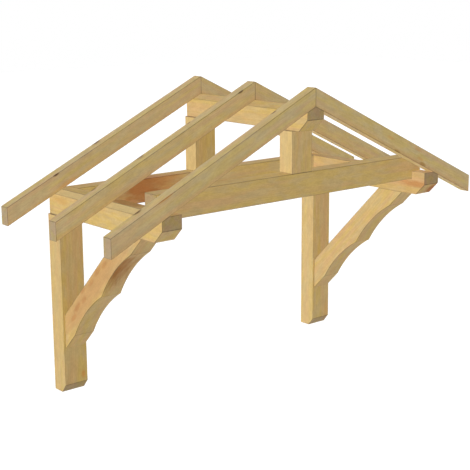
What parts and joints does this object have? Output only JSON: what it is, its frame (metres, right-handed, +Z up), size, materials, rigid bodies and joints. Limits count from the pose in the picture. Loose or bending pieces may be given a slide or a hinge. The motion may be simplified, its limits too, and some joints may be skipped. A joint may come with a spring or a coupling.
{
  "type": "porch canopy",
  "caption": "Open timber porch canopy frame with wall posts, scalloped braces, plates, tie beams, king posts, ridge and plumb-cut rafters, ready for roof boarding.",
  "frame": {"origin": "middle of the rear tie beam's back face, on the wall", "axes": "+X along the wall to the right as seen from outside, +Y into the wall, +Z up"},
  "size_m": [1.83, 0.726, 1.1938],
  "materials": {
    "timber": "planed, pale green-tinged treated softwood, unvarnished"
  },
  "bodies": {
    "root": {"rear_tie_beam": "timber", "front_tie_beam": "timber", "rear_king_post": "timber", "front_king_post": "timber", "ridge_beam": "timber", "left_wall_post": "timber", "right_wall_post": "timber", "left_side_plate": "timber", "right_side_plate": "timber", "left_brace": "timber", "right_brace": "timber", "left_rear_rafter": "timber", "right_rear_rafter": "timber", "left_middle_rafter": "timber", "right_middle_rafter": "timber", "left_front_rafter": "timber", "right_front_rafter": "timber"}
  },
  "joints": []
}
